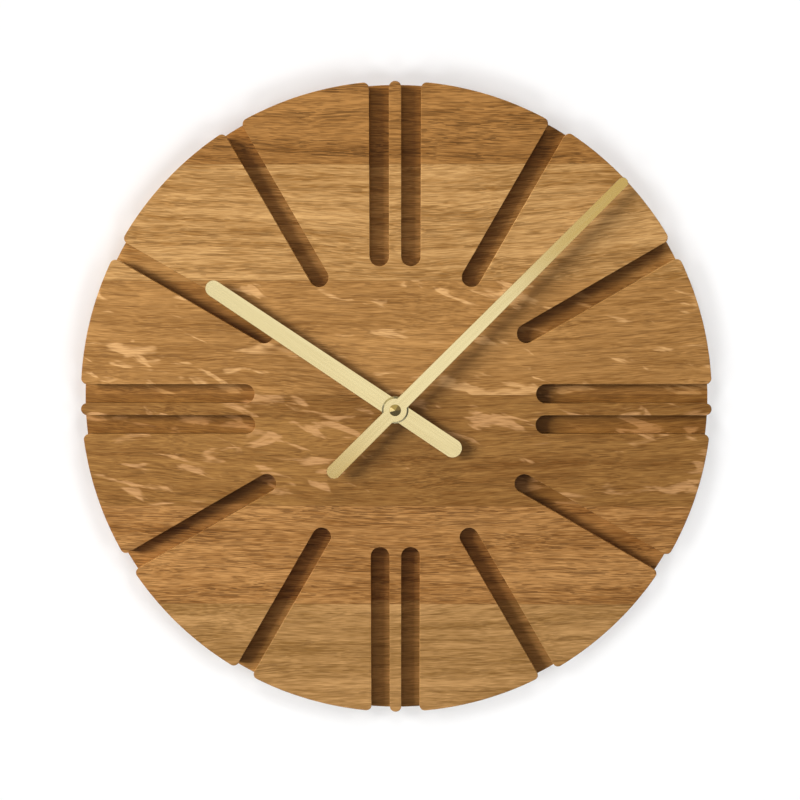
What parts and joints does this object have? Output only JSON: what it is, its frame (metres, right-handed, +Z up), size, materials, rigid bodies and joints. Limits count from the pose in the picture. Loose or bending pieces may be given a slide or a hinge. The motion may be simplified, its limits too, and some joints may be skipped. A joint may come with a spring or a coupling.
{
  "type": "wooden wall clock",
  "caption": "Round oak wall clock: an edge-glued dial with routed hour slots, flat brass hands, a battery quartz movement in a pocket and a keyhole hanger.",
  "frame": {"origin": "centre of the dial, on the plane of the wall that its back lies on", "axes": "+Z up, the dial faces -Y, +X to the right as the dial is seen"},
  "size_m": [0.34, 0.0338, 0.34],
  "materials": {
    "oiled_oak": "oiled",
    "brushed_brass": "brushed",
    "turned_brass": "turned",
    "zinc_plated_steel": "zinc plated",
    "motor_steel": "stamped",
    "black_rubber": "moulded",
    "black_plastic": "fine texture",
    "white_plastic": "moulded",
    "copper_wire": "enamelled wire",
    "green_board": "solder mask",
    "black_resin": "cast resin",
    "battery_sleeve": "printed sleeve, bare of text",
    "dark_magnet": "sintered"
  },
  "bodies": {
    "case": {"oak_stave_1": "oiled_oak", "oak_stave_2": "oiled_oak", "oak_stave_3": "oiled_oak", "oak_stave_4": "oiled_oak", "oak_stave_5": "oiled_oak", "oak_stave_6": "oiled_oak", "hanger_plate": "zinc_plated_steel", "hanger_screw_1": "zinc_plated_steel", "hanger_screw_2": "zinc_plated_steel", "rubber_gasket": "black_rubber", "front_washer": "turned_brass", "hex_nut": "turned_brass", "front_housing": "black_plastic", "back_cover": "black_plastic", "stator": "motor_steel", "coil_core": "motor_steel", "coil_bobbin": "white_plastic", "coil_winding": "copper_wire", "circuit_board": "green_board", "resin_covered_chip": "black_resin", "quartz_crystal": "motor_steel", "negative_contact": "zinc_plated_steel", "positive_contact": "zinc_plated_steel"},
    "minute": {"minute_hand": "brushed_brass", "cap_nut": "turned_brass", "cannon_pinion": "motor_steel"},
    "hour": {"hour_hand": "brushed_brass", "hour_wheel": "white_plastic"},
    "motion": {"motion_wheel": "white_plastic", "setting_knob": "black_plastic"},
    "rotor": {"rotor_pinion": "white_plastic", "rotor_magnet": "dark_magnet"},
    "intermediate": {"intermediate_wheel": "white_plastic"},
    "fourth": {"fourth_wheel": "white_plastic"},
    "third": {"third_wheel": "white_plastic"},
    "centre": {"centre_wheel": "turned_brass"},
    "cell": {"battery": "battery_sleeve"}
  },
  "joints": [
    {"name": "minute_turn", "type": "hinge", "parent": "case", "child": "minute", "pos_m": [0, 0, 0], "axis": [0, 1, 0], "continuous": true},
    {"name": "hour_turn", "type": "hinge", "parent": "case", "child": "hour", "pos_m": [0, 0, 0], "axis": [0, 1, 0], "continuous": true},
    {"name": "motion_turn", "type": "hinge", "parent": "case", "child": "motion", "pos_m": [0.01, 0, 0], "axis": [0, 1, 0], "continuous": true},
    {"name": "rotor_turn", "type": "hinge", "parent": "case", "child": "rotor", "pos_m": [0.00079, 0, 0.01514], "axis": [0, 1, 0], "continuous": true},
    {"name": "intermediate_turn", "type": "hinge", "parent": "case", "child": "intermediate", "pos_m": [0.00426, 0, 0.00914], "axis": [0, 1, 0], "continuous": true},
    {"name": "fourth_turn", "type": "hinge", "parent": "case", "child": "fourth", "pos_m": [0, 0, 0], "axis": [0, 1, 0], "continuous": true},
    {"name": "third_turn", "type": "hinge", "parent": "case", "child": "third", "pos_m": [-0.00817, 0, 0.00472], "axis": [0, 1, 0], "continuous": true},
    {"name": "centre_turn", "type": "hinge", "parent": "case", "child": "centre", "pos_m": [0, 0, 0], "axis": [0, 1, 0], "continuous": true},
    {"name": "battery_out", "type": "slide", "parent": "case", "child": "cell", "axis": [0, 1, 0], "range_m": [0, 0.02]}
  ],
  "couplings": [
    {"joint": "hour_turn", "follows": "minute_turn", "ratio": 0.083333},
    {"joint": "motion_turn", "follows": "minute_turn", "ratio": -0.33333},
    {"joint": "intermediate_turn", "follows": "rotor_turn", "ratio": -0.16667},
    {"joint": "fourth_turn", "follows": "rotor_turn", "ratio": 0.033333},
    {"joint": "third_turn", "follows": "rotor_turn", "ratio": -0.0044444},
    {"joint": "centre_turn", "follows": "rotor_turn", "ratio": 0.00055556}
  ]
}
